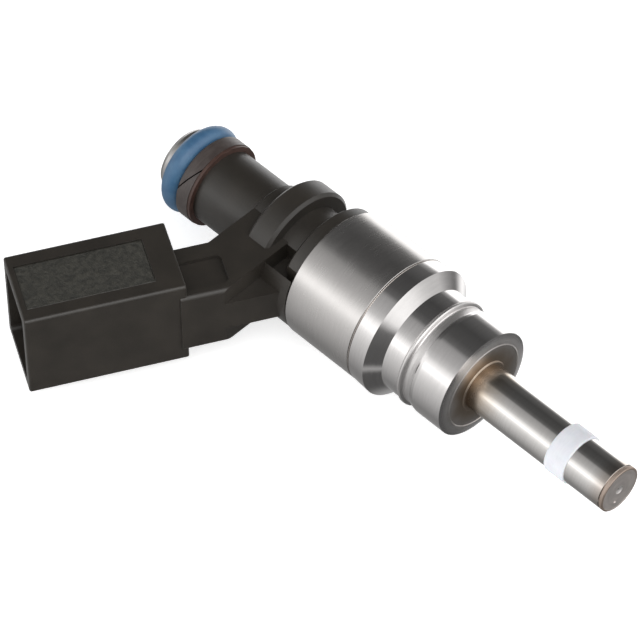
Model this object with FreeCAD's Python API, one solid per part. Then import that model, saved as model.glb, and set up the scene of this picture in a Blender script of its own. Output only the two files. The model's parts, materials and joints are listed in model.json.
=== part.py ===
import FreeCAD, Part
import math
import os

# Direct-injection fuel injector, in millimetres.
# +X runs along the injector axis towards the spray tip, and x = 0 is the tip-side end of the
# locating land that centres the injector in the cylinder head.  The electrical connector lies in
# the XY plane on the -Y side.  Everything is symmetric about z = 0 except the spring, the scarf cut
# of the backing ring and the witness dimple on the tip.

# --- inlet end -------------------------------------------------------------------------------
INLET_X = -60.9
INLET_RIM_R = 5.2
INLET_RIM_LENGTH = 1.8
SEAL_GROOVE_R = 3.75
O_RING_SECTION_R = 1.75
BACKUP_RING_LENGTH = 2.5
BACKUP_RING_R = 6.9
SCARF_ANGLE = 62.5
SCARF_AROUND = 51.0
SCARF_GAP = 0.22
WASHER_LENGTH = 0.5
WASHER_R = 6.8
SHANK_R = 4.2
FUEL_BORE_R = 2.2
FILTER_SEAT_R = 2.9
FILTER_SEAT_LENGTH = 9.0

# --- moulded body ----------------------------------------------------------------------------
SLEEVE_R = 5.98
ROOT_RING_X = -43.0
ROOT_RING_R = 6.45
COLLAR_X = -39.9
COLLAR_END_X = -35.7
COLLAR_R = 9.3
NECK_R = 7.05
SKIRT_X = -31.4
SKIRT_R = 9.8
SLOT_INNER_Y = -7.6
SLOT_OUTER_Y = -8.8
WINDOW_Y = -4.4
WEB_HALF = 2.7
ROOT_SEGMENT_R = 10.2

# --- connector arm and box -------------------------------------------------------------------
CONNECTOR_ANGLE = 61.2
CONNECTOR_ACROSS = -28.87
CONNECTOR_REAR = 36.87
CONNECTOR_MOUTH = 60.56
CONNECTOR_WIDTH = 12.85
CONNECTOR_HEIGHT = 15.84
CONNECTOR_WALL = 1.5
CONNECTOR_EDGE_R = 0.5
CONNECTOR_END_R = 0.3
SOCKET_DEPTH = 15.0
ARM_HALF = 5.7
ARM_INLET_X = -42.7
ARM_TIP_X = -34.55
ARM_INLET_B = -31.5
ARM_TIP_B = -22.1
PANEL_REAR_MARGIN = 3.9
PANEL_MOUTH_MARGIN = 0.9
PANEL_SIDE_MARGIN = 2.35
PANEL_DEPTH = 0.15
TERMINAL_PITCH = 3.8
TERMINAL_THICK = 0.8
TERMINAL_BROAD = 1.2
TERMINAL_TIP = 54.5

# --- magnet housing --------------------------------------------------------------------------
HOUSING_X = -29.3
HOUSING_R = 10.35
HOUSING_WALL = 1.3
SEAM_X = -16.4
SEAM_HALF = 0.2
SEAM_R = 10.2
COVER_THICK = 1.0
BOBBIN_END_X = -18.0
MAG_SLEEVE_R = 5.5
MAG_SLEEVE_BORE_R = 4.95
MAG_SLEEVE_X = -31.5
MAG_SLEEVE_END_X = -13.5
POLE_END_X = -20.6
POLE_BORE_R = 1.9
ADJUSTER_END_X = -26.6
SPRING_WIRE_R = 0.28
SPRING_TURNS = 7

# --- valve body and nozzle -------------------------------------------------------------------
FLANGE_X = -13.17
FLANGE_R = 10.6
CONE_END_X = -11.42
BARREL_R = 8.5
LIP_X = -8.35
LIP_END_X = -7.5
LIP_R = 8.8
RELIEF_R = 8.22
LAND_X = -5.2
LAND_R = 8.65
FACE_R = 6.96
FACE_X = 0.5
FACE_STEP = 0.12
BOSS_R = 4.15
BOSS_X = 0.6
NOZZLE_X = -9.0
NOZZLE_R = 3.7
NOZZLE_BORE_R = 2.5
NOZZLE_END_X = 26.62
SEAL_X = 15.75
SEAL_END_X = 19.33
SEAL_R = 3.95
SEAL_GROOVE_DEPTH = 0.5
SEAT_R = 2.95
SEAT_X = 23.0
SEAT_CAP_X = 25.95
SEAT_SEAM = 0.12

# --- moving needle assembly ------------------------------------------------------------------
ARMATURE_X = -20.5
ARMATURE_END_X = -14.2
ARMATURE_R = 4.87
NEEDLE_R = 1.0
BALL_R = 1.5
BALL_X = 24.3
GUIDE_X = 18.0
GUIDE_END_X = 20.0
GUIDE_CLEARANCE = 0.03
SEAT_CLEARANCE = 0.01

AXIS = FreeCAD.Vector(1, 0, 0)
ORIGIN = FreeCAD.Vector(0, 0, 0)


def turned(outline):
    """Solid of revolution about the X axis from a closed (x, radius) outline."""
    points = [FreeCAD.Vector(x, r, 0) for x, r in outline]
    face = Part.Face(Part.makePolygon(points + points[:1]))
    return face.revolve(ORIGIN, AXIS, 360)


def tube(x0, x1, outer, inner):
    return turned([(x0, inner), (x0, outer), (x1, outer), (x1, inner)])


def rod(x0, x1, radius):
    return Part.makeCylinder(radius, x1 - x0, FreeCAD.Vector(x0, 0, 0), AXIS)


def block(x0, x1, y0, y1, z0, z1):
    corner = FreeCAD.Vector(x0, y0, z0)
    return Part.makeBox(x1 - x0, y1 - y0, z1 - z0, corner)


def plate(outline, half, centre_z=0.0):
    """Flat plate with an (x, y) outline, half as thick on each side of centre_z."""
    points = [FreeCAD.Vector(x, y, centre_z - half) for x, y in outline]
    face = Part.Face(Part.makePolygon(points + points[:1]))
    return face.extrude(FreeCAD.Vector(0, 0, 2 * half))


def to_connector_frame(shape):
    """Turn a shape drawn along (out, across, z) so that out runs along the connector."""
    turn = FreeCAD.Rotation(FreeCAD.Vector(0, 0, 1), CONNECTOR_ANGLE - 180)
    shape.Placement = FreeCAD.Placement(ORIGIN, turn).multiply(shape.Placement)
    return shape


def connector_point(out, across):
    """(x, y) of a point given along and across the connector's centre line."""
    angle = math.radians(CONNECTOR_ANGLE)
    x = -out * math.cos(angle) + across * math.sin(angle)
    y = -out * math.sin(angle) - across * math.cos(angle)
    return x, y


def rounded(shape, radius, chosen):
    """Fillet the edges for which chosen(edge) is true."""
    return shape.makeFillet(radius, [edge for edge in shape.Edges if chosen(edge)])


def runs_along(edge, direction):
    first = edge.Vertexes[0].Point
    last = edge.Vertexes[-1].Point
    span = last.sub(first)
    return span.Length > 0.01 and abs(span.normalize().dot(direction)) > 0.999


# --- inlet end -------------------------------------------------------------------------------
RIM_END_X = INLET_X + INLET_RIM_LENGTH
O_RING_X = RIM_END_X + O_RING_SECTION_R
BACKUP_X = O_RING_X + O_RING_SECTION_R
WASHER_X = BACKUP_X + BACKUP_RING_LENGTH
SLEEVE_X = WASHER_X + WASHER_LENGTH


def inlet_tube():
    filter_end = INLET_X + FILTER_SEAT_LENGTH
    return turned([
        (INLET_X, FILTER_SEAT_R + 0.4), (INLET_X, INLET_RIM_R - 0.8),
        (INLET_X + 0.25, INLET_RIM_R - 0.3), (INLET_X + 0.8, INLET_RIM_R),
        (RIM_END_X, INLET_RIM_R), (RIM_END_X, SEAL_GROOVE_R), (WASHER_X, SEAL_GROOVE_R),
        (WASHER_X, SHANK_R), (MAG_SLEEVE_X, SHANK_R), (MAG_SLEEVE_X, FUEL_BORE_R),
        (filter_end, FUEL_BORE_R), (filter_end, FILTER_SEAT_R),
        (INLET_X + 0.4, FILTER_SEAT_R)])


def filter_frame():
    start = INLET_X + 0.7
    return tube(start, start + 1.6, FILTER_SEAT_R, FILTER_SEAT_R - 0.5)


def filter_mesh():
    start = INLET_X + 2.3
    end = INLET_X + FILTER_SEAT_LENGTH - 1.0
    return turned([(start, FILTER_SEAT_R - 0.5), (start, FILTER_SEAT_R - 0.25), (end, 1.3), (end, 0),
                   (end - 0.3, 0), (end - 0.3, 1.05)])


def fuel_o_ring():
    centre = FreeCAD.Vector(O_RING_X, 0, 0)
    return Part.makeTorus(SEAL_GROOVE_R + O_RING_SECTION_R, O_RING_SECTION_R, centre, AXIS)


def backup_ring():
    """Backing ring with a scarf cut, so that it can be sprung over the rim."""
    chamfer = 0.3
    ring = turned([
        (BACKUP_X, SEAL_GROOVE_R), (BACKUP_X, BACKUP_RING_R - chamfer),
        (BACKUP_X + chamfer, BACKUP_RING_R), (WASHER_X, BACKUP_RING_R), (WASHER_X, SEAL_GROOVE_R)])
    reach = 2 * BACKUP_RING_R
    cut = block(-reach / 2, reach / 2, -SCARF_GAP / 2, SCARF_GAP / 2, 0, reach)
    cut.rotate(ORIGIN, FreeCAD.Vector(0, 0, 1), SCARF_ANGLE)
    cut.translate(FreeCAD.Vector((BACKUP_X + WASHER_X) / 2, 0, 0))
    cut.rotate(ORIGIN, AXIS, SCARF_AROUND)
    return ring.cut(cut)


def support_washer():
    return tube(WASHER_X, SLEEVE_X, WASHER_R, SHANK_R)


# --- moulded body ----------------------------------------------------------------------------
def moulded_barrel():
    """Sleeve, root ring, collar, neck and skirt around the injector axis."""
    core = turned([
        (SLEEVE_X, SHANK_R), (SLEEVE_X, SLEEVE_R), (ROOT_RING_X, SLEEVE_R),
        (ROOT_RING_X + 0.4, ROOT_RING_R), (COLLAR_X + 1, ROOT_RING_R), (COLLAR_X + 1, NECK_R),
        (HOUSING_X, NECK_R), (HOUSING_X, MAG_SLEEVE_R), (MAG_SLEEVE_X, MAG_SLEEVE_R),
        (MAG_SLEEVE_X, SHANK_R)])
    for side in (-1, 1):
        window = block(ARM_TIP_X, SKIRT_X, SLOT_OUTER_Y, WINDOW_Y, WEB_HALF, SKIRT_R)
        core = core.cut(mirrored(window, side))
    return core.fuse([collar(), skirt()])


def mirrored(shape, side):
    """The shape itself for side 1, or its mirror image across z = 0 for side -1."""
    if side > 0:
        return shape
    return shape.mirror(ORIGIN, FreeCAD.Vector(0, 0, 1))


def collar():
    edge = 0.45
    ring = turned([
        (COLLAR_X, SLEEVE_R - 1), (COLLAR_X, COLLAR_R - edge), (COLLAR_X + edge, COLLAR_R),
        (COLLAR_END_X - edge, COLLAR_R), (COLLAR_END_X, COLLAR_R - edge),
        (COLLAR_END_X, SLEEVE_R - 1)])
    return ring.cut(block(COLLAR_X - 1, COLLAR_END_X + 1, -2 * COLLAR_R, SLOT_INNER_Y, -20, 20))


def skirt():
    edge = 0.35
    ring = turned([
        (SKIRT_X, NECK_R - 1), (SKIRT_X, SKIRT_R - edge), (SKIRT_X + edge, SKIRT_R),
        (HOUSING_X, SKIRT_R), (HOUSING_X, NECK_R - 1)])
    return ring.cut(block(SKIRT_X - 1, HOUSING_X + 1, -2 * SKIRT_R, SLOT_INNER_Y, -20, 20))


def root_segment():
    """Segment of the skirt cylinder that the arm's central web stands on."""
    whole = rod(ARM_TIP_X - 1, HOUSING_X, ROOT_SEGMENT_R)
    return whole.common(block(ARM_TIP_X - 1, HOUSING_X, -20, SLOT_OUTER_Y, -20, 20))


def meets(x, across):
    """The y at which the line of constant distance across the connector crosses this x."""
    angle = math.radians(CONNECTOR_ANGLE)
    return (x * math.sin(angle) - across) / math.cos(angle)


def central_web():
    """Thin gusset between the arm's tip-side face and the skirt."""
    inner_y = -NECK_R + 1
    outer_y = -math.sqrt(ROOT_SEGMENT_R ** 2 - WEB_HALF ** 2)
    outline = [
        (ARM_TIP_X - 1, inner_y), (ARM_TIP_X - 1, meets(ARM_TIP_X - 1, ARM_TIP_B)),
        meet_line(outer_y, ARM_TIP_B), (HOUSING_X, outer_y), (HOUSING_X, inner_y)]
    return plate(outline, WEB_HALF)


def arm():
    """Slanted arm that carries the connector box."""
    inside = CONNECTOR_REAR + 1
    outline = [
        (ARM_INLET_X, 0), (ARM_INLET_X, meets(ARM_INLET_X, ARM_INLET_B)),
        connector_point(inside, ARM_INLET_B), connector_point(inside, ARM_TIP_B),
        (ARM_TIP_X, meets(ARM_TIP_X, ARM_TIP_B)), (ARM_TIP_X, 0)]
    body = plate(outline, ARM_HALF)
    corner_y = meets(ARM_INLET_X, ARM_INLET_B)
    upright = FreeCAD.Vector(0, 0, 1)
    body = rounded(body, 0.5, lambda edge: runs_along(edge, upright)
                   and abs(edge.CenterOfMass.y - corner_y) < 0.1)
    body = rounded(body, 0.7, lambda edge: not runs_along(edge, upright)
                   and abs(edge.CenterOfMass.x * math.sin(math.radians(CONNECTOR_ANGLE))
                           - edge.CenterOfMass.y * math.cos(math.radians(CONNECTOR_ANGLE))
                           - ARM_TIP_B) < 0.1)
    return body


def arm_recess():
    """Shallow core-out in each side of the arm, behind the connector box."""
    outline = [
        connector_point(CONNECTOR_REAR + 0.2, ARM_INLET_B + 2.6),
        connector_point(CONNECTOR_REAR + 0.2, ARM_TIP_B - 1.5),
        connector_point(CONNECTOR_REAR - 6.6, ARM_TIP_B - 1.5),
        connector_point(CONNECTOR_REAR - 6.6, ARM_INLET_B + 2.6)]
    pocket = plate(outline, 0.7, ARM_HALF)
    upright = FreeCAD.Vector(0, 0, 1)
    return rounded(pocket, 1.0, lambda edge: runs_along(edge, upright))


def connector_box():
    half_b = CONNECTOR_WIDTH / 2
    half_z = CONNECTOR_HEIGHT / 2
    box = block(CONNECTOR_REAR, CONNECTOR_MOUTH, CONNECTOR_ACROSS - half_b, CONNECTOR_ACROSS + half_b,
                -half_z, half_z)
    along = FreeCAD.Vector(1, 0, 0)
    box = rounded(box, CONNECTOR_EDGE_R, lambda edge: runs_along(edge, along))
    box = rounded(box, CONNECTOR_END_R, lambda edge: edge.BoundBox.XLength < 0.01)
    floor = CONNECTOR_MOUTH - SOCKET_DEPTH
    half_b = half_b - CONNECTOR_WALL
    half_z = half_z - CONNECTOR_WALL
    socket = block(floor, CONNECTOR_MOUTH + 1, CONNECTOR_ACROSS - half_b, CONNECTOR_ACROSS + half_b,
                   -half_z, half_z)
    socket = rounded(socket, 0.8, lambda edge: runs_along(edge, along))
    return to_connector_frame(box.cut(socket).cut(side_panel(1)).cut(side_panel(-1)))


def side_panel(side):
    """Shallow recess for the textured panel on each flank of the connector box."""
    half_b = CONNECTOR_WIDTH / 2 - PANEL_SIDE_MARGIN
    top = CONNECTOR_HEIGHT / 2
    panel = block(CONNECTOR_REAR + PANEL_REAR_MARGIN, CONNECTOR_MOUTH - PANEL_MOUTH_MARGIN,
                  CONNECTOR_ACROSS - half_b, CONNECTOR_ACROSS + half_b, top - PANEL_DEPTH, top + 1)
    return mirrored(panel, side)


def latch_ramp():
    """Wedge on the inlet-side face that the mating plug's latch snaps over."""
    across = CONNECTOR_ACROSS - CONNECTOR_WIDTH / 2
    outline = [
        (CONNECTOR_MOUTH - 3, across + 0.5), (CONNECTOR_MOUTH - 3, across),
        (CONNECTOR_MOUTH - 6.5, across - 1.8), (CONNECTOR_MOUTH - 7.5, across - 1.8),
        (CONNECTOR_MOUTH - 7.5, across + 0.5)]
    return to_connector_frame(plate(outline, 2.5))


def terminal(side):
    """Bent strip from the coil through the arm to a pointed blade in the socket."""
    start_x = HOUSING_X + COVER_THICK + 0.4
    run_y = -(MAG_SLEEVE_R + 1.2)
    half = TERMINAL_THICK / 2
    outline = [
        (start_x, run_y + half), (start_x, run_y - half),
        meet_line(run_y - half, CONNECTOR_ACROSS + half),
        connector_point(TERMINAL_TIP, CONNECTOR_ACROSS + half),
        connector_point(TERMINAL_TIP + 0.8, CONNECTOR_ACROSS),
        connector_point(TERMINAL_TIP, CONNECTOR_ACROSS - half),
        meet_line(run_y + half, CONNECTOR_ACROSS - half)]
    return plate(outline, TERMINAL_BROAD / 2, side * TERMINAL_PITCH / 2)


def meet_line(y, across):
    """Point where a line of constant y crosses a line parallel to the connector."""
    angle = math.radians(CONNECTOR_ANGLE)
    return (across + y * math.cos(angle)) / math.sin(angle), y


def overmold_body(terminals):
    body = moulded_barrel().fuse([arm(), central_web(), root_segment(), connector_box(), latch_ramp()])
    for side in (-1, 1):
        body = body.cut(mirrored(arm_recess(), side))
    body = body.cut(rod(SLEEVE_X - 1, MAG_SLEEVE_X, SHANK_R))
    body = body.cut(rod(MAG_SLEEVE_X, HOUSING_X + 1, MAG_SLEEVE_R))
    for strip in terminals:
        body = body.cut(strip)
    return body.removeSplitter()


# --- magnet housing --------------------------------------------------------------------------
def coil_housing():
    inner = HOUSING_R - HOUSING_WALL
    edge = 0.35
    return turned([
        (HOUSING_X, inner), (HOUSING_X, HOUSING_R - edge), (HOUSING_X + edge, HOUSING_R),
        (SEAM_X - SEAM_HALF, HOUSING_R), (SEAM_X - 0.05, SEAM_R), (SEAM_X, SEAM_R),
        (SEAM_X, inner)])


def cover_plate(terminals):
    """Steel washer that closes the magnet circuit, with a clear hole round each terminal."""
    washer = tube(HOUSING_X, HOUSING_X + COVER_THICK, HOUSING_R - HOUSING_WALL, MAG_SLEEVE_R)
    gap = 0.5
    run_y = -(MAG_SLEEVE_R + 1.2)
    reach = TERMINAL_THICK / 2 + gap
    for strip in terminals:
        box = strip.BoundBox
        washer = washer.cut(block(
            HOUSING_X - 1, HOUSING_X + COVER_THICK + 1, run_y - reach, run_y + reach,
            box.ZMin - gap, box.ZMax + gap))
    return washer


def coil_bobbin(terminals):
    start = HOUSING_X + COVER_THICK
    outer = HOUSING_R - HOUSING_WALL - 0.15
    flange = 1.2
    spool = turned([
        (start, MAG_SLEEVE_R), (start, outer), (start + flange, outer), (start + flange, 6.4),
        (BOBBIN_END_X - flange, 6.4), (BOBBIN_END_X - flange, outer), (BOBBIN_END_X, outer),
        (BOBBIN_END_X, MAG_SLEEVE_R)])
    for strip in terminals:
        spool = spool.cut(strip)
    return spool


def coil_winding():
    start = HOUSING_X + COVER_THICK + 1.2
    return tube(start, BOBBIN_END_X - 1.2, 8.5, 6.4)


def yoke_ring():
    return tube(BOBBIN_END_X, SEAM_X, HOUSING_R - HOUSING_WALL, MAG_SLEEVE_R)


def magnetic_sleeve():
    return tube(MAG_SLEEVE_X, MAG_SLEEVE_END_X, MAG_SLEEVE_R, MAG_SLEEVE_BORE_R)


def pole_core():
    return turned([
        (MAG_SLEEVE_X, POLE_BORE_R), (MAG_SLEEVE_X, MAG_SLEEVE_BORE_R),
        (POLE_END_X - 0.3, MAG_SLEEVE_BORE_R), (POLE_END_X, MAG_SLEEVE_BORE_R - 0.3),
        (POLE_END_X, POLE_BORE_R)])


def adjusting_sleeve():
    return tube(MAG_SLEEVE_X + 0.5, ADJUSTER_END_X, POLE_BORE_R, 1.1)


def return_spring():
    """Compression spring between the adjusting sleeve and the armature, with flat end coils."""
    radius = POLE_BORE_R - SPRING_WIRE_R - 0.15
    first = ADJUSTER_END_X + SPRING_WIRE_R
    last = ARMATURE_X - SPRING_WIRE_R
    helix = Part.makeHelix((last - first) / SPRING_TURNS, last - first, radius)
    helix.rotate(ORIGIN, FreeCAD.Vector(0, 1, 0), 90)
    helix.translate(FreeCAD.Vector(first, 0, 0))
    start = helix.Vertexes[0].Point
    wire_way = FreeCAD.Vector(0, -start.z, start.y)
    section = Part.Wire(Part.makeCircle(SPRING_WIRE_R, start, wire_way))
    return Part.Wire(helix).makePipeShell([section], True, True)


# --- valve body and nozzle -------------------------------------------------------------------
def valve_body():
    inner = HOUSING_R - HOUSING_WALL
    return turned([
        (SEAM_X, MAG_SLEEVE_R), (SEAM_X, SEAM_R), (SEAM_X + 0.05, SEAM_R),
        (SEAM_X + SEAM_HALF, HOUSING_R), (FLANGE_X, FLANGE_R), (CONE_END_X, BARREL_R),
        (LIP_X, BARREL_R), (LIP_X + 0.12, LIP_R - 0.1), (LIP_X + 0.3, LIP_R),
        (LIP_END_X - 0.3, LIP_R), (LIP_END_X - 0.12, LIP_R - 0.1), (LIP_END_X, BARREL_R),
        (LIP_END_X + 0.05, RELIEF_R + 0.08), (LIP_END_X + 0.2, RELIEF_R),
        (LAND_X - 1.5, RELIEF_R + 0.06), (LAND_X - 1.0, RELIEF_R + 0.18), (LAND_X - 0.5, LAND_R - 0.1),
        (LAND_X, LAND_R), (0, LAND_R), (FACE_X - 0.1, FACE_R + 0.15), (FACE_X, FACE_R),
        (FACE_X, FACE_R - 0.1), (FACE_X - FACE_STEP, FACE_R - 0.2), (FACE_X - FACE_STEP, BOSS_R + 0.1),
        (BOSS_X - 0.06, BOSS_R), (BOSS_X, BOSS_R - 0.06), (BOSS_X, NOZZLE_R),
        (NOZZLE_X, NOZZLE_R), (NOZZLE_X, 3.1),
        (NOZZLE_X - 1.0, 3.1), (MAG_SLEEVE_END_X + 0.8, 4.4), (MAG_SLEEVE_END_X, MAG_SLEEVE_BORE_R),
        (MAG_SLEEVE_END_X, MAG_SLEEVE_R)])


def nozzle_tube():
    groove = NOZZLE_R - SEAL_GROOVE_DEPTH
    return turned([
        (NOZZLE_X, NOZZLE_BORE_R), (NOZZLE_X, NOZZLE_R), (SEAL_X, NOZZLE_R), (SEAL_X, groove),
        (SEAL_END_X, groove), (SEAL_END_X, NOZZLE_R), (SEAT_CAP_X - SEAT_SEAM, NOZZLE_R),
        (SEAT_CAP_X, NOZZLE_R - SEAT_SEAM), (SEAT_CAP_X, SEAT_R), (SEAT_X, SEAT_R),
        (SEAT_X, NOZZLE_BORE_R)])


def combustion_seal():
    groove = NOZZLE_R - SEAL_GROOVE_DEPTH
    edge = 0.12
    return turned([
        (SEAL_X, groove), (SEAL_X, SEAL_R - edge), (SEAL_X + edge, SEAL_R), (SEAL_END_X - edge, SEAL_R),
        (SEAL_END_X, SEAL_R - edge), (SEAL_END_X, groove)])


def valve_seat():
    """Seat insert: a cone for the ball, a metering orifice, an outer dimple and a welded cap."""
    root2 = math.sqrt(2)
    apex = BALL_X + (BALL_R + SEAT_CLEARANCE) * root2
    orifice = 0.22
    mouth_r = BALL_R + 0.2
    front = NOZZLE_END_X - 0.05
    insert = turned([
        (SEAT_X, mouth_r), (SEAT_X, SEAT_R), (SEAT_CAP_X, SEAT_R), (SEAT_CAP_X, NOZZLE_R - SEAT_SEAM),
        (SEAT_CAP_X + SEAT_SEAM, NOZZLE_R), (NOZZLE_END_X - 0.12, NOZZLE_R),
        (NOZZLE_END_X, NOZZLE_R - 0.12), (NOZZLE_END_X, NOZZLE_R - 0.3), (front, NOZZLE_R - 0.36),
        (front, 0.7), (front - 0.12, 0.55), (front - 0.2, orifice), (apex - orifice, orifice),
        (apex - mouth_r, mouth_r)])
    # Witness dimple beside the orifice; it is off the plane z = 0.
    witness = Part.makeSphere(0.3, FreeCAD.Vector(front + 0.12, -0.82, -1.91))
    return insert.cut(witness)


# --- moving needle assembly ------------------------------------------------------------------
def armature():
    body = turned([
        (ARMATURE_X, NEEDLE_R), (ARMATURE_X, ARMATURE_R - 0.3), (ARMATURE_X + 0.3, ARMATURE_R),
        (ARMATURE_END_X - 0.6, ARMATURE_R), (ARMATURE_END_X, ARMATURE_R - 0.6),
        (ARMATURE_END_X, NEEDLE_R)])
    for turn in range(4):
        hole = Part.makeCylinder(0.6, 10, FreeCAD.Vector(ARMATURE_X - 1, 3.0, 0), AXIS)
        hole.rotate(ORIGIN, AXIS, 45 + 90 * turn)
        body = body.cut(hole)
    return body


def needle():
    return rod(ARMATURE_X, BALL_X - 1.0, NEEDLE_R).cut(valve_ball())


def valve_ball():
    return Part.makeSphere(BALL_R, FreeCAD.Vector(BALL_X, 0, 0))


def needle_guide():
    body = tube(GUIDE_X, GUIDE_END_X, NOZZLE_BORE_R, NEEDLE_R + GUIDE_CLEARANCE)
    for turn in range(4):
        hole = Part.makeCylinder(0.35, 4, FreeCAD.Vector(GUIDE_X - 1, 1.8, 0), AXIS)
        hole.rotate(ORIGIN, AXIS, 90 * turn)
        body = body.cut(hole)
    return body


def build():
    terminals = [terminal(-1), terminal(1)]
    nodes = {
        "inlet_tube": inlet_tube(),
        "inlet_filter_frame": filter_frame(),
        "inlet_filter_mesh": filter_mesh(),
        "fuel_o_ring": fuel_o_ring(),
        "backup_ring": backup_ring(),
        "support_washer": support_washer(),
        "overmold_body": overmold_body(terminals),
        "terminal_a": terminals[0],
        "terminal_b": terminals[1],
        "coil_housing": coil_housing(),
        "cover_plate": cover_plate(terminals),
        "coil_bobbin": coil_bobbin(terminals),
        "coil_winding": coil_winding(),
        "yoke_ring": yoke_ring(),
        "magnetic_sleeve": magnetic_sleeve(),
        "pole_core": pole_core(),
        "adjusting_sleeve": adjusting_sleeve(),
        "return_spring": return_spring(),
        "valve_body": valve_body(),
        "nozzle_tube": nozzle_tube(),
        "combustion_seal": combustion_seal(),
        "valve_seat": valve_seat(),
        "needle_guide": needle_guide(),
        "armature": armature(),
        "needle": needle(),
        "valve_ball": valve_ball(),
    }
    os.makedirs("parts", exist_ok=True)
    for name, shape in nodes.items():
        solids = shape.Solids
        print(name, "solids", len(solids), "valid", shape.isValid(), "volume %.1f" % shape.Volume)
        shape.exportStep("parts/" + name + ".step")
    return nodes


build()
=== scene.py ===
import json
import math
import bpy
from mathutils import Matrix, Vector


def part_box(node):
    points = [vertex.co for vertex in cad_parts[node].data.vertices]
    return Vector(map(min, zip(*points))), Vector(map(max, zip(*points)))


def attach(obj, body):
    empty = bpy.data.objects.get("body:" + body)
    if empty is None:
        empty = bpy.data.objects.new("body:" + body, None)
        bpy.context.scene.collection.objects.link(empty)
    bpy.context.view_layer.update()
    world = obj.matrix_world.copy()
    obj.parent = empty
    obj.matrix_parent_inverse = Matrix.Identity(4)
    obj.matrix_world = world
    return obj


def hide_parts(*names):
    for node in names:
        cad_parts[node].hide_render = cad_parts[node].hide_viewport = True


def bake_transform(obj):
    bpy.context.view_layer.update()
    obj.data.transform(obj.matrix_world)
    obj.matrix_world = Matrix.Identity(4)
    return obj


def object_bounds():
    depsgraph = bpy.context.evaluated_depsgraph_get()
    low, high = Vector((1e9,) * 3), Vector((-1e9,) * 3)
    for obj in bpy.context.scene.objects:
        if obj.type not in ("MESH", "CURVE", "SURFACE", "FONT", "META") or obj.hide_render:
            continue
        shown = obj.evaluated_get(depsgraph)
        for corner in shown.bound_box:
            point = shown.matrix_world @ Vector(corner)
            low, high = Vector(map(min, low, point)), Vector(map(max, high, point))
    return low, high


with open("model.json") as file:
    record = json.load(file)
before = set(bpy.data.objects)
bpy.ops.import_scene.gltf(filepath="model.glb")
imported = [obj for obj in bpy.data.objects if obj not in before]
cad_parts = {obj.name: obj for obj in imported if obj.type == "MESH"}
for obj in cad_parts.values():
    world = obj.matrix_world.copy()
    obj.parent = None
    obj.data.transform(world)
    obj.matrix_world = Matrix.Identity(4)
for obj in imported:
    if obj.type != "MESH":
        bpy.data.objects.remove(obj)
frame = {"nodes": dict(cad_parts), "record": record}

CAD_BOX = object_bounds()

# The injector's axis is X with the spray tip at +X, and the connector is on the -Y side. Lengths
# are metres, and the shaders work in millimetres.
MM = 0.001
MIDDLE = (CAD_BOX[0] + CAD_BOX[1]) / 2
REACH = (CAD_BOX[1] - CAD_BOX[0]).length / 2

# The connector's angle to the axis, and the textured panel on its flanks: where it lies along the
# connector and across it, the |z| over which it sets in, and how soft its outline is, in mm.
CONNECTOR_ANGLE = math.radians(61.2)
PANEL_OUT = (40.8, 59.6)
PANEL_ACROSS = (-32.9, -24.8)
PANEL_Z = (7.62, 7.82)
PANEL_SOFT = 0.15

# Valve body, in mm along x: the lip with its relief, and the stretch over which the polished land
# gives way to the end face. Lip and face are turned but never polished, which adds to the roughness.
LIP_ZONE = (-8.4, -5.9)
LIP_SOFT = 0.2
END_FACE_X = (-0.1, 0.3)
UNPOLISHED = 0.30

# Laser weld between the magnet housing and the valve body. Its width, swell and lean are shares of
# its radius.
WELD_BEAD_R = 0.17 * MM
WELD_BEAD_WIDTH = 1.1
WELD_RIPPLES = 190
WELD_SWELL = 0.06
WELD_LEAN = 0.12
STEPS_PER_RIPPLE = 6
WELD_SECTION_STEPS = 12

# Winding and filter, in mm and in wires around the axis.
WIRE_PITCH = 0.22
MESH_PITCH = 0.30
MESH_WIRES = 44.0

# Heat tints of the steel around the welds, and where they fade, in mm: by radius on the valve
# body's end face and on the seat, by distance past the valve body along the nozzle, and by distance
# short of the nozzle tube's end.
FACE_TINT_R = (5.4, 9.0)
SEAT_RIM_R = (3.3, 3.5)
ROOT_TINT = (1.0, 8.5)
TIP_TINT = 3.0
HEAT_STRAW = (0.56, 0.47, 0.37)
HEAT_BROWN = (0.40, 0.325, 0.255)
HEAT_TIP = (0.40, 0.32, 0.26)
HEAT_SCORCHED = (0.30, 0.23, 0.17)
HEAT_RIM = (0.50, 0.41, 0.35)

# Radius over which the painted highlight on the dimple at the orifice fades, in mm.
DIMPLE_HIGHLIGHT_R = (0.5, 0.8)

# Studio. Sizes are in REACH, and the glow of a surface is the radiance that it adds of its own.
FLOOR_HALF = 40
FLOOR_GLOW = 0.62
WALL_RADIUS = 38
WALL_HEIGHT = 60
WALL_SIDES = 96
WALL_GLOW = 1.0
SWEEP_GREYS = ((0.2, (0.88, 0.88, 0.88)), (0.8, (0.90, 0.90, 0.90)))

# Radiance of the studio by angle about the injector's axis, in degrees from +Y through +Z: first in
# directions that lean towards the inlet end, then in directions that lean past the spray tip.
WORLD_PEAK = 2.0
INLET_END = (
    (-180, 0.92), (-170, 0.78), (-150, 0.58), (-130, 0.40), (-110, 0.26), (-90, 0.26), (-65, 0.38),
    (-48, 0.95), (-32, 1.80), (-12, 1.90), (-3, 1.70), (4, 0.45), (16, 0.14), (50, 0.07),
    (80, 0.09), (94, 0.15), (102, 0.40), (124, 0.55), (136, 0.75), (146, 1.25), (164, 1.35),
    (174, 1.05))
TIP_END = (
    (-180, 0.17), (-150, 0.12), (-127, 0.11), (-121, 0.50), (-115, 0.11), (-60, 0.10), (-32, 0.20),
    (-20, 0.24), (-10, 0.42), (1, 0.70), (13, 0.72), (27, 0.85), (44, 1.15), (67, 1.30),
    (99, 1.35), (139, 1.15), (155, 0.75), (172, 0.20))
# The direction's x over which the one gives way to the other.
TIP_BLEND = (-0.10, 0.25)

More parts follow.
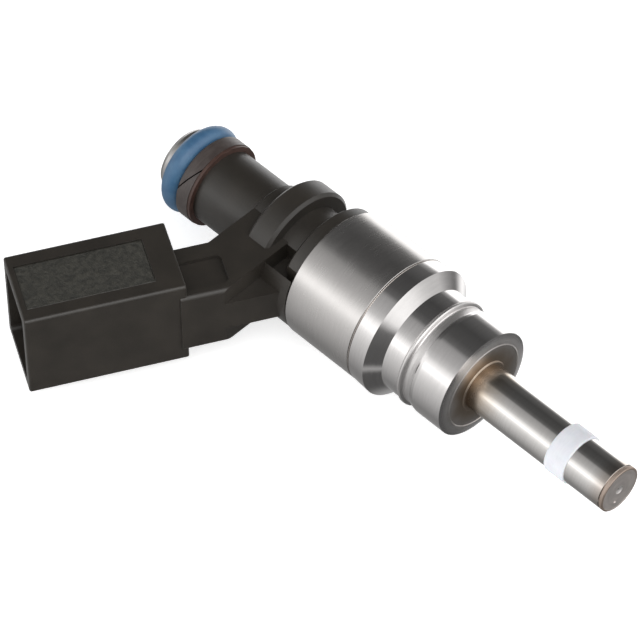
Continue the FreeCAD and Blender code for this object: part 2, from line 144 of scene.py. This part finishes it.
CAMERA_AZIMUTH = math.radians(45.49)
CAMERA_ELEVATION = math.radians(50.43)
CAMERA_ROLL = math.radians(-0.38)
CAMERA_DISTANCE = 0.6385
CAMERA_AIM = Vector((-7.33, 7.95, 0.0)) * MM
CAMERA_CLIP = (0.05, 100)
LENS = 251.1
SENSOR_WIDTH = 36.0


# --- shader building blocks --------------------------------------------------------------------


class Nodes:
    """A node tree, and short ways to add nodes to it."""

    def __init__(self, tree):
        self.tree = tree

    def add(self, kind, inputs=(), **settings):
        node = self.tree.nodes.new("ShaderNode" + kind)
        for key, value in settings.items():
            setattr(node, key, value)
        for socket, value in dict(inputs).items():
            self.feed(node.inputs[socket], value)
        return node

    def feed(self, socket, value):
        if isinstance(value, bpy.types.NodeSocket):
            self.tree.links.new(value, socket)
        else:
            socket.default_value = value

    def maths(self, operation, first, second=0.0):
        return self.add("Math", {0: first, 1: second}, operation=operation).outputs[0]

    def axes(self):
        """The x, y and z of a point in the row frame, in millimetres."""
        place = self.add("TexCoord").outputs["Object"]
        split = self.add("SeparateXYZ", {0: place})
        return [self.maths("MULTIPLY", split.outputs[i], 1 / MM) for i in range(3)]

    def vector(self, x, y, z):
        return self.add("CombineXYZ", {0: x, 1: y, 2: z}).outputs[0]

    def noise(self, where, scale=1.0, *, detail, roughness):
        node = self.add("TexNoise", {"Vector": where, "Scale": scale, "Detail": detail,
                                     "Roughness": roughness})
        return node.outputs["Fac"]

    def spread(self, value, low, high, to_low=0.0, to_high=1.0):
        """Maps value from low..high to to_low..to_high, held at the ends."""
        node = self.add("MapRange", {"Value": value, "From Min": low, "From Max": high,
                                     "To Min": to_low, "To Max": to_high})
        node.interpolation_type = "SMOOTHSTEP"
        return node.outputs["Result"]

    def band(self, value, start, end, soft):
        """1 between start and end, falling to 0 over soft at each end."""
        rise = self.spread(value, start - soft, start + soft)
        fall = self.spread(value, end - soft, end + soft, 1.0, 0.0)
        return self.maths("MULTIPLY", rise, fall)

    def ramp(self, value, stops):
        node = self.add("ValToRGB", {"Fac": value})
        scale = node.color_ramp
        while len(scale.elements) < len(stops):
            scale.elements.new(0.5)
        for element, (place, colour) in zip(scale.elements, stops):
            element.position = place
            element.color = (*colour, 1.0)
        return node.outputs["Color"]

    def blend(self, amount, first, second):
        node = self.add("Mix", data_type="RGBA")
        self.feed(node.inputs["Factor"], amount)
        for socket, value in ((node.inputs["A"], first), (node.inputs["B"], second)):
            self.feed(socket, value if isinstance(value, bpy.types.NodeSocket) else (*value, 1.0))
        return node.outputs["Result"]

    def bump(self, height, depth_mm, strength=1.0, under=None):
        inputs = {"Height": height, "Distance": depth_mm * MM, "Strength": strength}
        if under is not None:
            inputs["Normal"] = under
        return self.add("Bump", inputs).outputs["Normal"]

    def radius(self, y, z):
        square = self.maths("ADD", self.maths("MULTIPLY", y, y), self.maths("MULTIPLY", z, z))
        return self.maths("SQRT", square)


class Shader(Nodes):
    """One procedural material: a Principled shader and the nodes that feed it."""

    def __init__(self, name, **sockets):
        self.material = bpy.data.materials.new(name)
        self.material.use_nodes = True
        super().__init__(self.material.node_tree)
        self.surface = self.tree.nodes["Principled BSDF"]
        for socket, value in sockets.items():
            self.surface.inputs[socket.replace("_", " ")].default_value = value

    def set(self, socket, value):
        self.feed(self.surface.inputs[socket], value)

    def fed(self, socket):
        """What feeds one of the surface's sockets so far."""
        return self.surface.inputs[socket].links[0].from_socket


def turned_lines(shader, fine, across=0.35):
    """Noise drawn out around the X axis, as a lathe or a polishing belt leaves it. The radius counts
    as a little travel along the axis, so that flat faces get rings too."""
    x, y, z = shader.axes()
    travel = shader.maths("ADD", x, shader.maths("MULTIPLY", shader.radius(y, z), 0.3))
    where = shader.vector(shader.maths("MULTIPLY", travel, fine),
                          shader.maths("MULTIPLY", y, across),
                          shader.maths("MULTIPLY", z, across))
    return shader.noise(where, detail=5.0, roughness=0.6)


def smudges(shader, scale):
    """Soft, uneven patches that break up an even finish."""
    return shader.noise(shader.vector(*shader.axes()), scale, detail=3.0, roughness=0.5)


def steel(name, colour, rough, fine, depth, swing, tone):
    """Turned steel: fine rings in colour, roughness and relief, with faint smudges. swing is the
    spread of the roughness, tone the share by which the colour varies, depth the relief in mm."""
    shader = Shader(name, Metallic=1.0)
    lines = turned_lines(shader, fine)
    dark = tuple(channel * (1 - tone) for channel in colour)
    light = tuple(min(1.0, channel * (1 + tone)) for channel in colour)
    shader.set("Base Color", shader.ramp(lines, ((0.3, dark), (0.7, light))))
    mixed = shader.maths("ADD", shader.maths("MULTIPLY", lines, 0.6),
                         shader.maths("MULTIPLY", smudges(shader, 0.45), 0.4))
    shader.set("Roughness", shader.spread(mixed, 0.3, 0.7, rough - swing / 2, rough + swing / 2))
    shader.set("Normal", shader.bump(lines, depth))
    return shader


# --- metals ------------------------------------------------------------------------------------


def housing_steel():
    return steel("housing_steel", (0.60, 0.58, 0.565), rough=0.25, fine=6.0, depth=0.0003,
                 swing=0.06, tone=0.035).material


def polished_steel():
    """Turned and polished valve body, with a brown heat tint on the face around the nozzle."""
    shader = steel("polished_steel", (0.70, 0.68, 0.67), rough=0.11, fine=5.0, depth=0.0003,
                   swing=0.05, tone=0.035)
    x, y, z = shader.axes()
    wander = smudges(shader, 0.35)
    reach = shader.maths("ADD", shader.radius(y, z), shader.maths("MULTIPLY", wander, 2.0))
    on_face = shader.spread(x, *END_FACE_X)
    tint = shader.maths("MULTIPLY", shader.spread(reach, *FACE_TINT_R, 1.0, 0.0), on_face)
    shader.set("Base Color", shader.blend(tint, shader.fed("Base Color"), HEAT_BROWN))
    lip = shader.band(x, *LIP_ZONE, LIP_SOFT)
    duller = shader.maths("MULTIPLY", shader.maths("ADD", on_face, lip), UNPOLISHED)
    shader.set("Roughness", shader.maths("ADD", shader.fed("Roughness"), duller))
    return shader.material


def machined_steel():
    return steel("machined_steel", (0.46, 0.45, 0.44), rough=0.34, fine=6.0, depth=0.002,
                 swing=0.12, tone=0.15).material


def magnet_steel():
    return steel("magnet_steel", (0.42, 0.41, 0.40), rough=0.38, fine=5.0, depth=0.004,
                 swing=0.12, tone=0.15).material


def needle_steel():
    return steel("needle_steel", (0.70, 0.69, 0.68), rough=0.10, fine=12.0, depth=0.0006,
                 swing=0.05, tone=0.05).material


def spring_steel():
    return steel("spring_steel", (0.36, 0.36, 0.37), rough=0.32, fine=14.0, depth=0.002,
                 swing=0.1, tone=0.1).material


def nozzle_steel():
    """Ground nozzle with a straw and brown heat tint near the weld and a fainter one at the tip."""
    shader = steel("nozzle_steel", (0.70, 0.68, 0.66), rough=0.085, fine=8.0, depth=0.0003,
                   swing=0.05, tone=0.045)
    x, y, z = shader.axes()
    streaks = shader.vector(shader.maths("MULTIPLY", x, 0.25), shader.maths("MULTIPLY", y, 0.9),
                            shader.maths("MULTIPLY", z, 0.9))
    wander = shader.noise(streaks, detail=4.0, roughness=0.6)
    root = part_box("valve_body")[1].x / MM
    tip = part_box("nozzle_tube")[1].x / MM
    reach = shader.maths("ADD", x, shader.maths("MULTIPLY", wander, 3.0))
    near_root = shader.spread(reach, root + ROOT_TINT[0], root + ROOT_TINT[1], 1.0, 0.0)
    near_tip = shader.spread(x, tip - TIP_TINT, tip, 0.0, 0.55)
    straw = shader.blend(near_root, shader.fed("Base Color"), HEAT_STRAW)
    scorched = shader.maths("POWER", near_root, 3.0)
    brown = shader.blend(scorched, straw, HEAT_SCORCHED)
    shader.set("Base Color", shader.blend(near_tip, brown, HEAT_TIP))
    duller = shader.maths("MULTIPLY", scorched, 0.25)
    shader.set("Roughness", shader.maths("ADD", shader.fed("Roughness"), duller))
    return shader.material


def seat_steel():
    """Hardened insert: fine grey ground face, with a painted highlight on the dimple at the orifice.
    """
    shader = steel("seat_steel", (0.74, 0.69, 0.66), rough=0.60, fine=6.0, depth=0.002,
                   swing=0.10, tone=0.10)
    _, y, z = shader.axes()
    radius = shader.radius(y, z)
    # Painted highlight: a lighter colour where the dimple at the orifice catches the light.
    dimple_highlight = shader.spread(radius, *DIMPLE_HIGHLIGHT_R, 1.0, 0.0)
    rim = shader.spread(radius, *SEAT_RIM_R)
    tinted = shader.blend(rim, shader.fed("Base Color"), HEAT_RIM)
    shader.set("Base Color", shader.blend(dimple_highlight, tinted, (0.82, 0.80, 0.78)))
    return shader.material


def weld_metal():
    """Laser weld: a row of overlapping scales around the housing."""
    shader = steel("weld_metal", (0.44, 0.405, 0.38), rough=0.26, fine=8.0, depth=0.002,
                   swing=0.10, tone=0.25)
    _, y, z = shader.axes()
    turn = shader.maths("ARCTAN2", z, y)
    scales = shader.maths("SINE", shader.maths("MULTIPLY", turn, WELD_RIPPLES))
    low = shader.spread(scales, -1.0, 0.2, 0.45, 0.0)
    shader.set("Base Color", shader.blend(low, shader.fed("Base Color"), (0.16, 0.12, 0.10)))
    return shader.material


def brass_frame():
    return steel("brass_frame", (0.72, 0.52, 0.24), rough=0.26, fine=7.0, depth=0.003,
                 swing=0.1, tone=0.1).material


def tinned_terminal():
    """Tin plating: soft, cloudy patches and a very fine grain."""
    shader = Shader("tinned_terminal", Metallic=1.0)
    where = shader.vector(*shader.axes())
    cloud = shader.noise(where, 1.2, detail=4.0, roughness=0.6)
    fine = shader.noise(where, 12.0, detail=3.0, roughness=0.6)
    shader.set("Base Color", shader.ramp(cloud, (
        (0.3, (0.58, 0.57, 0.54)), (0.7, (0.76, 0.75, 0.71)))))
    shader.set("Roughness", shader.spread(cloud, 0.3, 0.7, 0.24, 0.38))
    shader.set("Normal", shader.bump(fine, 0.004, 0.6))
    return shader.material


def copper_wire():
    """Enamelled winding: close turns of fine wire, with painted shade in the grooves between them.
    """
    shader = Shader("copper_wire", Metallic=1.0, Coat_Weight=0.6, Coat_Roughness=0.15)
    along = shader.maths("MULTIPLY", shader.axes()[0], 2 * math.pi / WIRE_PITCH)
    turns = shader.maths("SINE", along)
    # Painted shade: the colour darkens in the grooves between the turns, where the relief is lowest.
    shader.set("Base Color", shader.ramp(shader.spread(turns, -1.0, 1.0), (
        (0.1, (0.16, 0.06, 0.03)), (0.7, (0.70, 0.32, 0.15)))))
    shader.set("Roughness", shader.spread(smudges(shader, 0.8), 0.3, 0.7, 0.26, 0.38))
    shader.set("Normal", shader.bump(turns, 0.05))
    return shader.material


def filter_mesh():
    """Fine woven stainless mesh, with painted shade in the low places of the weave."""
    shader = Shader("filter_mesh", Metallic=1.0)
    x, y, z = shader.axes()
    warp = shader.maths("SINE", shader.maths("MULTIPLY", x, 2 * math.pi / MESH_PITCH))
    turn = shader.maths("ARCTAN2", z, y)
    weft = shader.maths("SINE", shader.maths("MULTIPLY", turn, MESH_WIRES))
    weave = shader.maths("MULTIPLY", warp, weft)
    # Painted shade: the colour goes near black where the weave is lowest.
    shader.set("Base Color", shader.ramp(shader.spread(weave, -1.0, 1.0), (
        (0.15, (0.06, 0.06, 0.06)), (0.75, (0.52, 0.51, 0.49)))))
    shader.set("Roughness", shader.spread(weave, -1.0, 1.0, 0.5, 0.3))
    shader.set("Normal", shader.bump(weave, 0.05))
    return shader.material


# --- plastics, rubber and polymers -------------------------------------------------------------


def on_panel(shader, x, y, z):
    """1 on the textured panels of the connector, 0 elsewhere."""
    cos, sin = math.cos(CONNECTOR_ANGLE), math.sin(CONNECTOR_ANGLE)
    out = shader.maths("ADD", shader.maths("MULTIPLY", x, -cos), shader.maths("MULTIPLY", y, -sin))
    across = shader.maths("ADD", shader.maths("MULTIPLY", x, sin),
                          shader.maths("MULTIPLY", y, -cos))
    outline = shader.maths("MULTIPLY", shader.band(out, *PANEL_OUT, PANEL_SOFT),
                           shader.band(across, *PANEL_ACROSS, PANEL_SOFT))
    side = shader.spread(shader.maths("ABSOLUTE", z), *PANEL_Z)
    return shader.maths("MULTIPLY", outline, side)


def black_plastic():
    """Glass-filled nylon: satin moulded skin, with an eroded texture on the connector's panels."""
    shader = Shader("black_plastic", Specular_IOR_Level=0.7, Sheen_Weight=0.10,
                    Sheen_Roughness=0.22)
    x, y, z = shader.axes()
    where = shader.vector(x, y, z)
    cloud = shader.noise(where, 0.22, detail=3.0, roughness=0.5)
    grain = shader.noise(where, 7.0, detail=4.0, roughness=0.6)
    mould = shader.noise(where, 1.6, detail=3.0, roughness=0.5)
    panel = on_panel(shader, x, y, z)
    skin = shader.ramp(cloud, (
        (0.3, (0.0175, 0.0145, 0.0110)), (0.7, (0.0260, 0.0215, 0.0165))))
    eroded = shader.ramp(mould, (
        (0.35, (0.013, 0.013, 0.009)), (0.65, (0.040, 0.038, 0.029))))
    shader.set("Base Color", shader.blend(panel, skin, eroded))
    satin = shader.spread(grain, 0.3, 0.7, 0.36, 0.48)
    duller = shader.maths("MULTIPLY", panel, 0.22)
    shader.set("Roughness", shader.maths("ADD", satin, duller))
    coarse = shader.maths("ADD", mould, shader.maths("MULTIPLY", grain, 0.5))
    relief = shader.maths("MULTIPLY", panel, coarse)
    fine = shader.bump(grain, 0.012, 0.6)
    shader.set("Normal", shader.bump(relief, 0.16, 1.0, fine))
    return shader.material


def blue_rubber():
    """Blue O-ring compound with a faint bloom and a fine grain."""
    shader = Shader("blue_rubber", Specular_IOR_Level=0.5)
    where = shader.vector(*shader.axes())
    cloud = shader.noise(where, 0.5, detail=4.0, roughness=0.6)
    fine = shader.noise(where, 9.0, detail=4.0, roughness=0.6)
    shader.set("Base Color", shader.ramp(cloud, (
        (0.30, (0.045, 0.118, 0.225)), (0.55, (0.062, 0.152, 0.270)),
        (0.80, (0.090, 0.195, 0.310)))))
    shader.set("Roughness", shader.spread(cloud, 0.3, 0.7, 0.32, 0.46))
    shader.set("Normal", shader.bump(fine, 0.010, 0.6))
    return shader.material


def lines_and_smudges(shader, lines, scale):
    return shader.maths("MULTIPLY", shader.maths("ADD", lines, smudges(shader, scale)), 0.5)


def taupe_polymer():
    """Backing ring: filled polymer with turning marks."""
    shader = Shader("taupe_polymer", Specular_IOR_Level=0.5)
    lines = turned_lines(shader, 5.0, 0.5)
    shader.set("Base Color", shader.ramp(lines_and_smudges(shader, lines, 0.6), (
        (0.32, (0.044, 0.033, 0.030)), (0.52, (0.062, 0.050, 0.046)),
        (0.72, (0.090, 0.074, 0.068)))))
    shader.set("Roughness", shader.spread(lines, 0.3, 0.7, 0.34, 0.48))
    shader.set("Normal", shader.bump(lines, 0.010, 0.7))
    return shader.material


def brown_polymer():
    """Support washer: brown polymer with turning marks."""
    shader = Shader("brown_polymer", Specular_IOR_Level=0.5)
    lines = turned_lines(shader, 6.0, 0.8)
    shader.set("Base Color", shader.ramp(lines, (
        (0.3, (0.040, 0.020, 0.015)), (0.7, (0.085, 0.045, 0.034)))))
    shader.set("Roughness", shader.spread(lines, 0.3, 0.7, 0.40, 0.55))
    shader.set("Normal", shader.bump(lines, 0.008, 0.6))
    return shader.material


def ptfe():
    """Bluish-white PTFE, turned, with faint handling marks."""
    shader = Shader("ptfe", Specular_IOR_Level=0.4, Subsurface_Weight=0.12, Subsurface_Scale=0.0006)
    lines = turned_lines(shader, 7.0, 0.5)
    shader.set("Base Color", shader.ramp(lines_and_smudges(shader, lines, 0.8), (
        (0.30, (0.70, 0.715, 0.76)), (0.50, (0.755, 0.77, 0.815)), (0.75, (0.80, 0.815, 0.85)))))
    shader.set("Roughness", shader.spread(lines, 0.3, 0.7, 0.38, 0.54))
    shader.set("Normal", shader.bump(lines, 0.006, 0.6))
    return shader.material


def bobbin_plastic():
    """Coil former: pale brown moulded plastic."""
    shader = Shader("bobbin_plastic", Specular_IOR_Level=0.5)
    fine = smudges(shader, 8.0)
    shader.set("Base Color", shader.ramp(smudges(shader, 0.7), (
        (0.3, (0.10, 0.085, 0.06)), (0.7, (0.16, 0.14, 0.10)))))
    shader.set("Roughness", shader.spread(fine, 0.3, 0.7, 0.42, 0.56))
    shader.set("Normal", shader.bump(fine, 0.010, 0.6))
    return shader.material


# --- materials on the CAD nodes ----------------------------------------------------------------

MATERIALS = {
    "machined_steel": machined_steel,
    "brass_frame": brass_frame,
    "filter_mesh": filter_mesh,
    "blue_rubber": blue_rubber,
    "taupe_polymer": taupe_polymer,
    "brown_polymer": brown_polymer,
    "black_plastic": black_plastic,
    "tinned_terminal": tinned_terminal,
    "housing_steel": housing_steel,
    "magnet_steel": magnet_steel,
    "bobbin_plastic": bobbin_plastic,
    "copper_wire": copper_wire,
    "spring_steel": spring_steel,
    "polished_steel": polished_steel,
    "nozzle_steel": nozzle_steel,
    "ptfe": ptfe,
    "seat_steel": seat_steel,
    "needle_steel": needle_steel,
}


def dress_nodes():
    made = {name: make() for name, make in MATERIALS.items()}
    for part in frame["record"]["subparts"]:
        node = frame["nodes"][part["node"]]
        for place in node.material_slots:
            place.material = made[part["material_slot"]]


# --- pieces added to the frame -----------------------------------------------------------------


def mesh_object(name, points, faces, material):
    mesh = bpy.data.meshes.new(name)
    mesh.from_pydata(points, [], faces)
    mesh.validate()
    for polygon in mesh.polygons:
        polygon.use_smooth = True
    thing = bpy.data.objects.new(name, mesh)
    thing.data.materials.append(material)
    bpy.context.scene.collection.objects.link(thing)
    return thing


def weld_bead():
    """Rippled weld bead in the seam groove between housing and valve body. Its crests are level with
    the housing."""
    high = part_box("coil_housing")[1]
    ring_r = high.z - WELD_BEAD_R
    steps = WELD_RIPPLES * STEPS_PER_RIPPLE
    section = WELD_SECTION_STEPS
    points = []
    for i in range(steps):
        turn = 2 * math.pi * i / steps
        swell = 1 - WELD_SWELL + WELD_SWELL * math.cos(turn * WELD_RIPPLES)
        lean = WELD_LEAN * WELD_BEAD_R * math.sin(turn * WELD_RIPPLES)
        for j in range(section):
            spot = 2 * math.pi * j / section
            radius = ring_r + WELD_BEAD_R * swell * math.sin(spot)
            points.append((high.x + WELD_BEAD_R * WELD_BEAD_WIDTH * math.cos(spot) + lean,
                           radius * math.cos(turn), radius * math.sin(turn)))
    faces = []
    for i in range(steps):
        ahead = (i + 1) % steps
        for j in range(section):
            beside = (j + 1) % section
            faces.append((i * section + j, i * section + beside,
                          ahead * section + beside, ahead * section + j))
    bead = mesh_object("seam_weld_bead", points, faces, weld_metal())
    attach(bead, "injector_body")


def seated_spring():
    """The return spring again, as a copy with its placement baked into the mesh; the original is
    hidden.
    """
    mesh = frame["nodes"]["return_spring"].data.copy()
    spring = bpy.data.objects.new("seated_return_spring", mesh)
    bpy.context.scene.collection.objects.link(spring)
    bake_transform(spring)
    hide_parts("return_spring")


# --- studio ------------------------------------------------------------------------------------


def sweep_white(name, specular, glow):
    """White that glows by a constant amount, with a barely visible cloud in it."""
    shader = Shader(name, Specular_IOR_Level=specular, Emission_Color=(1.0, 1.0, 1.0, 1.0),
                    Emission_Strength=glow)
    place = shader.add("TexCoord").outputs["Object"]
    cloud = shader.noise(place, 3.0, detail=2.0, roughness=0.5)
    shader.set("Base Color", shader.ramp(cloud, SWEEP_GREYS))
    return shader, cloud


def pale_floor():
    shader, cloud = sweep_white("pale_floor", 0.2, FLOOR_GLOW)
    shader.set("Roughness", shader.spread(cloud, 0.2, 0.8, 0.85, 0.92))
    return shader.material


def white_wall():
    """The same white, bright enough to stay white without any light on it."""
    return sweep_white("white_wall", 0.0, WALL_GLOW)[0].material


def floor():
    """Pale floor. It glows a little so that it stays near white, and polished metal doesn't mirror
    it: metal sees the studio that the world shader describes instead."""
    half = REACH * FLOOR_HALF
    low = CAD_BOX[0].z
    corners = ((-1, -1), (1, -1), (1, 1), (-1, 1))
    points = [(MIDDLE.x + a * half, MIDDLE.y + b * half, low) for a, b in corners]
    ground = mesh_object("studio_floor", points, [(0, 1, 2, 3)], pale_floor())
    ground.visible_glossy = False


def backdrop():
    """White wall round the floor, for cameras near floor level. It lights nothing."""
    radius = REACH * WALL_RADIUS
    low = CAD_BOX[0].z
    points = []
    for level in (low, low + REACH * WALL_HEIGHT):
        for i in range(WALL_SIDES):
            turn = 2 * math.pi * i / WALL_SIDES
            points.append((MIDDLE.x + radius * math.cos(turn), MIDDLE.y + radius * math.sin(turn),
                           level))
    faces = []
    for i in range(WALL_SIDES):
        beside = (i + 1) % WALL_SIDES
        faces.append((i, beside, WALL_SIDES + beside, WALL_SIDES + i))
    wall = mesh_object("studio_backdrop", points, faces, white_wall())
    wall.visible_glossy = False
    wall.visible_diffuse = False
    wall.visible_transmission = False
    wall.visible_shadow = False


def softbox(name, direction, distance, width, height, radiance, soft):
    """Area light that faces the injector, with its sizes in REACH. Its surface has the given
    radiance in the middle and fades towards its edges, as a diffuser panel does."""
    lamp = bpy.data.lights.new(name, "AREA")
    lamp.shape = "RECTANGLE"
    lamp.size = width * REACH
    lamp.size_y = height * REACH
    lamp.energy = radiance * math.pi * lamp.size * lamp.size_y
    lamp.use_nodes = True
    nodes = Nodes(lamp.node_tree)
    place = nodes.add("NewGeometry").outputs["Parametric"]
    split = nodes.add("SeparateXYZ", {0: place})
    across, along = [nodes.band(split.outputs[i], soft / 2, 1 - soft / 2, soft / 2)
                     for i in range(2)]
    glow = lamp.node_tree.nodes["Emission"].inputs["Strength"]
    nodes.feed(glow, nodes.maths("MULTIPLY", across, along))
    holder = bpy.data.objects.new(name, lamp)
    towards = Vector(direction).normalized()
    holder.location = MIDDLE + towards * distance * REACH
    holder.rotation_mode = "QUATERNION"
    holder.rotation_quaternion = (-towards).to_track_quat("-Z", "Y")
    bpy.context.scene.collection.objects.link(holder)


def by_angle(nodes, turn, table):
    """Grey by turn, which is 0 at -180 degrees and 1 at 180, as a share of WORLD_PEAK."""
    stops = [(degrees / 360 + 0.5, (value / WORLD_PEAK,) * 3) for degrees, value in table]
    return nodes.ramp(turn, stops + [(1.0, stops[0][1])])


def studio_world():
    """The studio that metal mirrors. Towards the inlet it is bright low on the +Y side and high on
    the -Y side, with a dark ceiling between. Past the spray tip it is bright above, dark below."""
    world = bpy.data.worlds.new("studio")
    world.use_nodes = True
    bpy.context.scene.world = world
    nodes = Nodes(world.node_tree)
    split = nodes.add("SeparateXYZ", {0: nodes.add("TexCoord").outputs["Generated"]})
    x, y, z = split.outputs
    angle = nodes.maths("ARCTAN2", z, y)
    turn = nodes.maths("ADD", nodes.maths("DIVIDE", angle, 2 * math.pi), 0.5)
    colour = nodes.blend(nodes.spread(x, *TIP_BLEND), by_angle(nodes, turn, INLET_END),
                         by_angle(nodes, turn, TIP_END))
    shade = world.node_tree.nodes["Background"]
    nodes.feed(shade.inputs["Color"], colour)
    shade.inputs["Strength"].default_value = WORLD_PEAK


def studio_light():
    studio_world()
    softbox("key_left", (-0.45, -0.82, 0.36), distance=10, width=8, height=4, radiance=0.45,
            soft=0.5)
    softbox("camera_side", (0.32, -0.45, 0.84), distance=18, width=18, height=16, radiance=2.1,
            soft=0.4)
    softbox("far_side", (0.45, 0.55, 0.70), distance=14, width=12, height=10, radiance=1.3,
            soft=0.5)


def camera():
    data = bpy.data.cameras.new("camera")
    data.lens = LENS
    data.sensor_width = SENSOR_WIDTH
    data.clip_start, data.clip_end = (REACH * share for share in CAMERA_CLIP)
    holder = bpy.data.objects.new("camera", data)
    back = Vector((math.sin(CAMERA_AZIMUTH) * math.cos(CAMERA_ELEVATION),
                   -math.cos(CAMERA_AZIMUTH) * math.cos(CAMERA_ELEVATION),
                   math.sin(CAMERA_ELEVATION)))
    aim = Vector((MIDDLE.x, MIDDLE.y, 0)) + CAMERA_AIM
    holder.location = aim + back * CAMERA_DISTANCE
    holder.rotation_mode = "QUATERNION"
    turn = (-back).to_track_quat("-Z", "Y")
    holder.rotation_quaternion = turn @ Matrix.Rotation(CAMERA_ROLL, 3, "Z").to_quaternion()
    bpy.context.scene.collection.objects.link(holder)
    bpy.context.scene.camera = holder


bpy.context.scene.view_settings.view_transform = "Standard"
dress_nodes()
weld_bead()
seated_spring()
floor()
backdrop()
studio_light()
camera()
